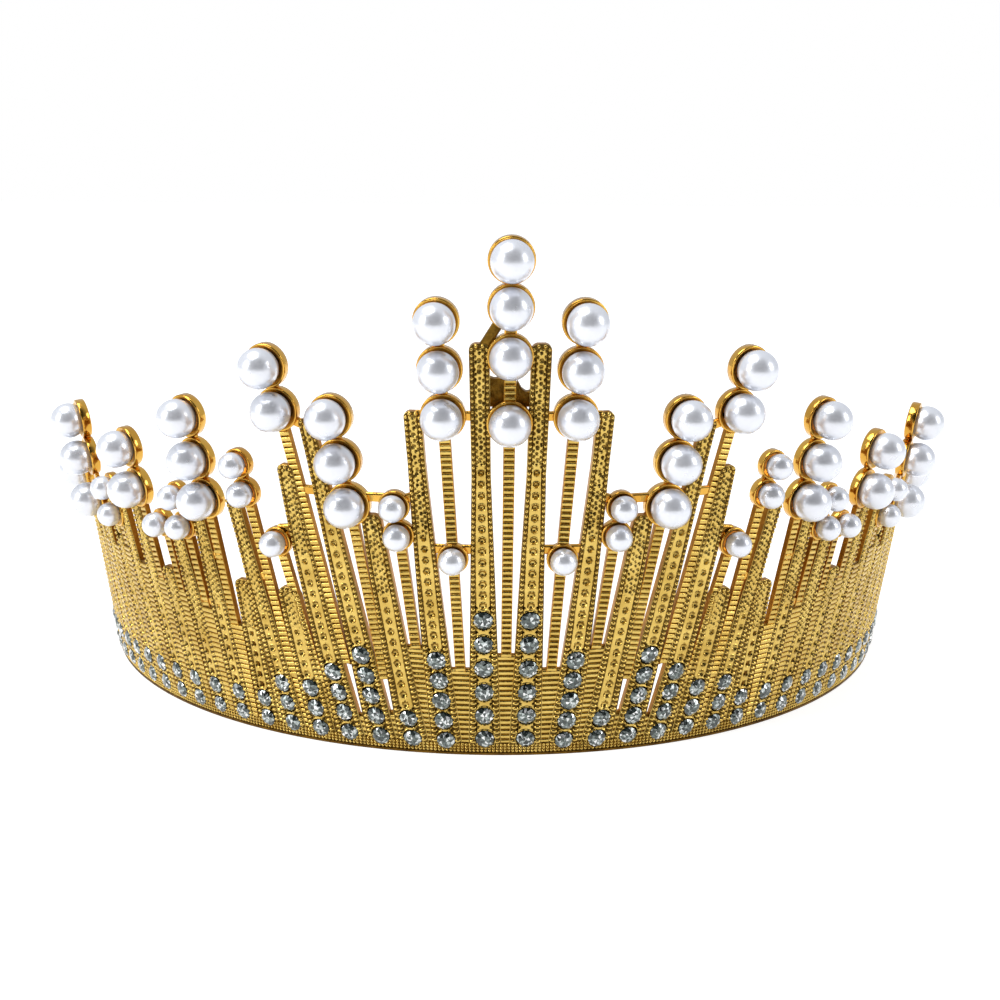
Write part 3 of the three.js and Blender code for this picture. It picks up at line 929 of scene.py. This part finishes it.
def linkSlab(ends, side):
    (a, low), (b, high) = ends
    start, end = Vector((side * arc(a), low)), Vector((side * arc(b), high))
    across = (end - start).normalized() * (linkLook["width"] / 2)
    offset = Vector((-across.y, across.x))
    corners = [tuple(p) for p in (start - offset, end - offset, end + offset, start + offset)]
    return slab(corners, linkLook["back"], linkLook["front"])


linkSlabs = [linkSlab(ends, side) for side in (-1, 1) for ends in links]
pieces.append((slabsObject("links", linkSlabs, [tumbledGold], linkLook["bevel"]), "gold_plate"))
# the strut takes the dark brace gold, a painted shade
strut = slabsObject("centre_strut", [linkSlab(centreStrut, 1)], [shadedBraceGold], 0.35)
pieces.append((strut, "dark_gold_plate"))

# round cups with a rolled rim, cast with the stalks
print("cups")
cupProfiles = {      # radius and depth, from the middle of the back round the rim to the bowl's floor
    "large": [(0, -1.55), (2.85, -1.55), (3.17, -1.46), (3.31, -1.25), (3.34, -0.25), (3.32, -0.05),
              (3.24, 0.04), (3.12, 0.05), (2.98, -0.03), (2.72, -0.14), (2.45, -0.34), (2.1, -0.75),
              (1.2, -1.2), (0, -1.38)],
    "small": [(0, -1.35), (2.02, -1.35), (2.24, -1.26), (2.34, -1.1), (2.37, -0.15), (2.35, 0.02),
              (2.28, 0.09), (2.18, 0.1), (2.05, 0.02), (1.86, -0.1), (1.66, -0.3), (1.3, -0.6),
              (0.8, -0.8), (0, -0.88)],
}
cupDrop = {"centre": 0.22, "side": 0.10}      # the pearls sit this much above the middle of their cups


def latheShape(profile, around):
    # a closed shape turned from a profile that starts and ends on the axis
    vertices = [(0, 0, profile[0][1])]
    for radius, depth in profile[1:-1]:
        for i in range(around):
            turn = 2 * math.pi * i / around
            vertices.append((radius * math.cos(turn), radius * math.sin(turn), depth))
    vertices.append((0, 0, profile[-1][1]))
    faces = []
    for i in range(around):
        after = (i + 1) % around
        faces.append((0, 1 + after, 1 + i))
        for ring in range(len(profile) - 3):
            a, b = 1 + ring * around, 1 + (ring + 1) * around
            faces.append((a + i, a + after, b + after, b + i))
        last = 1 + (len(profile) - 3) * around
        faces.append((last + i, last + after, len(vertices) - 1))
    return vertices, faces


for size, heightsColumn, around in (("large", 3, 32), ("small", 4, 24)):
    places = [(0.0, y - cupDrop["centre"], 0.0) for y in centrePearls] if size == "large" else []
    for side in (-1, 1):
        for stalk in stalks:
            places += [(side * stalkCentre(stalk, y), y - cupDrop["side"], 0.0)
                       for y in stalk[heightsColumn]]
    fits = [(1 / growth(y), 1, 1) for _, y, _ in places]
    cup = benchShape(f"{size}Cup", *latheShape(cupProfiles[size], around))
    source = pointsObject(f"{size}CupPoints", places, [(0, 0, 0)] * len(places), fits)
    piece = growPiece(source, onPoints, f"{size}_cups", {"Shape": cup, "Material": tumbledGold})
    pieces.append((piece, "gold_plate"))

# rhinestones, each set a little askew and turned its own way
print("rhinestones")
stoneLook = {"radius": 1.40, "girdle": -0.08, "askew": 0.05, "seed": 21}


def brilliantShape():
    # a round brilliant with flat facets, the table cut in eight as the foil shows through it
    size = stoneLook["radius"]
    rings = [(0.0, 0.31, [0]), (0.50, 0.30, [i * 45 for i in range(8)]),
             (0.76, 0.20, [22.5 + i * 45 for i in range(8)]), (1.0, 0.0, [i * 22.5 for i in range(16)]),
             (0.8, -0.3, [i * 22.5 for i in range(16)])]
    vertices = [(size * r * math.cos(math.radians(a)), size * r * math.sin(math.radians(a)), size * z)
                for r, z, angles in rings for a in angles]
    faces = []
    for i in range(8):
        j = (i + 1) % 8
        left, mid, right = 17 + 2 * i, 17 + 2 * i + 1, 17 + (2 * i + 2) % 16
        faces += [(0, 1 + i, 1 + j), (1 + i, 9 + i, 1 + j), (1 + i, 9 + (i - 1) % 8, left, 9 + i)]
        faces += [(9 + i, left, mid), (9 + i, mid, right)]
    faces += [(17 + i, 33 + i, 33 + (i + 1) % 16, 17 + (i + 1) % 16) for i in range(16)]
    faces.append(tuple(33 + i for i in reversed(range(16))))
    shape = benchShape("brilliant", vertices, faces, smooth=False)
    dice = random.Random(stoneLook["seed"])
    # each facet's tone for the painted reflections
    tones = shape.data.attributes.new("facetGlint", "FLOAT", "FACE")
    tones.data.foreach_set("value", [dice.random() for _ in faces])
    return shape


brilliant = brilliantShape()
for side, sideName in ((-1, "left"), (1, "right")):
    dice = random.Random(stoneLook["seed"] + side)
    places = [(side * barCentre(i, y), y, stoneLook["girdle"])
              for i in range(len(bars)) for y in stoneHeights(i)]
    askew = stoneLook["askew"]
    turns = [(dice.uniform(-askew, askew), dice.uniform(-askew, askew), dice.uniform(0, math.pi))
             for _ in places]
    source = pointsObject("stonePoints", places, turns, [(1, 1, 1)] * len(places))
    # each stone's tone for the painted reflections
    tones = source.data.attributes.new("stoneGlint", "FLOAT", "POINT")
    tones.data.foreach_set("value", [dice.random() for _ in places])
    piece = growPiece(source, onPoints, f"rhinestones_{sideName}",
                      {"Shape": brilliant, "Material": foiledGlass})
    pieces.append((piece, "rhinestone"))

# pearls stand where the frame's pearls are, with their poles facing out and in
print("pearls")
pearlLook = {"large": 3.0, "small": 2.0, "rings": 32, "around": 48}
pairStalk = stalks[10]      # the two pearls that are one node a side


def pearlMesh(name, centres, radius):
    # round beads, rings of faces about the line that each one faces along
    vertices, faces = [], []
    rings, around = pearlLook["rings"], pearlLook["around"]
    for centre in centres:
        start = len(vertices)
        out = Vector((centre.x, centre.y - circleY, 0)).normalized()
        out = (out * flareCos - Vector((0, 0, flareSin))).normalized()
        side = out.cross(Vector((0, 0, 1))).normalized()
        up = side.cross(out)
        vertices.append(centre + out * radius)
        for ring in range(1, rings):
            angle = math.pi * ring / rings
            for i in range(around):
                turn = 2 * math.pi * i / around
                ray = out * math.cos(angle) + (side * math.cos(turn) + up * math.sin(turn)) * math.sin(angle)
                vertices.append(centre + ray * radius)
        vertices.append(centre - out * radius)
        for i in range(around):
            after = (i + 1) % around
            faces.append((start, start + 1 + after, start + 1 + i))
            for ring in range(rings - 2):
                a, b = start + 1 + ring * around, start + 1 + (ring + 1) * around
                faces.append((a + i, a + after, b + after, b + i))
            last = start + 1 + (rings - 2) * around
            faces.append((last + i, last + after, len(vertices) - 1))
    return meshObject(name, vertices, faces, materials=[pearlLacquer])


for nodeName in sorted(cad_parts):
    if not nodeName.startswith("pearl_"):
        continue
    if nodeName.startswith("pearl_pair"):
        side = -1 if nodeName.endswith("left") else 1
        radius = pearlLook["small"] * mm
        depth = layout["pearlDepth"]["small"]
        centres = []
        for y in pairStalk[4]:
            reach = (layout["radius"] + y * flareTan + depth * flareCos) * mm
            turn = side * stalkCentre(pairStalk, y) / layout["radius"]
            centres.append(Vector((reach * math.sin(turn), circleY - reach * math.cos(turn),
                                   (y - depth * flareSin) * mm)))
    else:
        low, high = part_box(nodeName)
        radius = pearlLook["large" if high.z - low.z > 5 * mm else "small"] * mm
        centres = [centreOfNode(nodeName)]
    piece = pearlMesh(nodeName + "_bead", centres, radius)
    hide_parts(nodeName)
    pieces.append((piece, "pearl"))

# the brace behind the two middle bars, a small leaf of plate
print("brace")
braceLook = {"back": -3.4, "front": -2.1, "bevel": 0.2}
braceOutline = [(-4.0, 60.2), (-4.0, 55.3), (4.0, 55.3), (4.0, 57.9), (2.2, 57.5), (1.6, 58.0),
                (1.05, 59.1), (0.7, 58.2), (-0.6, 59.7), (-2.0, 59.4)]
# the brace takes the dark brace gold, a painted shade
brace = slabsObject("centre_brace_leaf", [slab(braceOutline, braceLook["back"], braceLook["front"])],
                    [shadedBraceGold], braceLook["bevel"])
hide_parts("centre_brace")
pieces.append((brace, "dark_gold_plate"))

for shape in shapeBench:
    bpy.data.objects.remove(shape)
# one rigid object: everything rides on the one body
for piece, slotName in pieces:
    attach(piece, "root")
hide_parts("crown_frame")


studio = {
    "paper": "#B4B4B4", "glow": 0.82, "paperHalf": 2.2, "fibre": 1.1 * mm,
    "tent": "#F4F6FA", "room": "#323338", "tentStrength": 0.8,
    "opening": (0, -0.86, 0.5),      # the way that the tent's opening lies
    "openingEdge": (0.45, 0.92),     # cosines of the angles where its soft edge starts and ends
}
lamps = {      # place, what it points at, its two sides and its power
    "topSoftbox": ((-0.25, -0.05, 0.75), (0, 0, 0.03), (0.5, 0.4), 4),
    "leftSoftbox": ((-0.7, -0.35, 0.35), (0, 0, 0.04), (0.25, 0.4), 2.5),
    "rightSoftbox": ((0.75, -0.25, 0.35), (0, 0, 0.04), (0.2, 0.4), 1.5),
}
view = {"place": (-6.7, -289.8, 91.7), "pan": 1.49, "tilt": 13.29, "roll": 0.45, "lens": 53.83}


def paperFloor():
    # white paper that glows a little, so that its ground stays a pure white in soft light
    material, tree = newMaterial("whitePaper")
    place = addNode(tree, "ShaderNodeTexCoord").outputs["Object"]
    fibre = addNode(tree, "ShaderNodeTexNoise", {
        "Vector": place, "Scale": 1 / studio["fibre"],
    }).outputs["Fac"]
    rough = addNode(tree, "ShaderNodeMapRange", {"Value": fibre, "To Min": 0.85, "To Max": 0.95}).outputs[0]
    shader = addNode(tree, "ShaderNodeBsdfPrincipled", {
        "Base Color": hexColour(studio["paper"]), "Roughness": rough,
        "Emission Color": (1, 1, 1, 1), "Emission Strength": studio["glow"],
    }).outputs[0]
    addNode(tree, "ShaderNodeOutputMaterial", {"Surface": shader})
    half = studio["paperHalf"]
    vertices = [(x, y, 0) for y in (-half, half) for x in (-half, half)]
    meshObject("paper", vertices, [(0, 1, 3, 2)], materials=[material])


def areaLight(name, place, target, size, power):
    lamp = bpy.data.lights.new(name, "AREA")
    lamp.shape = "RECTANGLE"
    lamp.size, lamp.size_y = size
    lamp.energy = power
    light = bpy.data.objects.new(name, lamp)
    light.location = place
    light.rotation_euler = (Vector(target) - Vector(place)).to_track_quat("-Z", "Y").to_euler()
    bpy.context.scene.collection.objects.link(light)


def studioWorld():
    # a white tent, with the darker room showing through its front opening
    world = bpy.data.worlds.new("studioTent")
    bpy.context.scene.world = world
    world.use_nodes = True
    tree = world.node_tree
    tree.nodes.clear()
    ray = addNode(tree, "ShaderNodeTexCoord").outputs["Generated"]
    opening = Vector(studio["opening"]).normalized()
    towards = addNode(tree, "ShaderNodeVectorMath", {0: ray, 1: tuple(opening)},
                      operation="DOT_PRODUCT").outputs["Value"]
    outer, inner = studio["openingEdge"]
    shade = addNode(tree, "ShaderNodeMapRange", {"Value": towards, "From Min": outer, "From Max": inner},
                    interpolation_type="SMOOTHSTEP").outputs[0]
    tent = addNode(tree, "ShaderNodeMix", {
        "Factor": shade, 6: hexColour(studio["tent"]), 7: hexColour(studio["room"]),
    }, data_type="RGBA").outputs[2]
    seen = addNode(tree, "ShaderNodeBackground", {"Color": (1, 1, 1, 1), "Strength": 1.0}).outputs[0]
    lit = addNode(tree, "ShaderNodeBackground", {
        "Color": tent, "Strength": studio["tentStrength"],
    }).outputs[0]
    direct = addNode(tree, "ShaderNodeLightPath").outputs["Is Camera Ray"]
    mixed = addNode(tree, "ShaderNodeMixShader", {0: direct, 1: lit, 2: seen}).outputs[0]
    addNode(tree, "ShaderNodeOutputWorld", {"Surface": mixed})


def placeCamera():
    # a close view from just above the top, looking slightly down
    x, y, z = view["place"]      # from the middle of the head circle, on the floor
    eye = Vector((x * mm, circleY + y * mm, z * mm))
    pan, tilt, roll = (math.radians(view[turn]) for turn in ("pan", "tilt", "roll"))
    ahead = Vector((math.sin(pan) * math.cos(tilt), math.cos(pan) * math.cos(tilt), -math.sin(tilt)))
    level = ahead.cross(Vector((0, 0, 1))).normalized()
    upright = level.cross(ahead)
    right = level * math.cos(roll) + upright * math.sin(roll)
    up = upright * math.cos(roll) - level * math.sin(roll)
    lens = bpy.data.cameras.new("camera")
    lens.sensor_width = 36
    lens.lens = view["lens"]
    lens.clip_start = 0.01
    camera = bpy.data.objects.new("camera", lens)
    camera.matrix_world = Matrix.Translation(eye) @ Matrix((right, up, -ahead)).transposed().to_4x4()
    bpy.context.scene.collection.objects.link(camera)
    bpy.context.scene.camera = camera


print("studio")
paperFloor()
studioWorld()
for lampName, spec in lamps.items():
    areaLight(lampName, *spec)
placeCamera()
bpy.context.scene.view_settings.view_transform = "Standard"
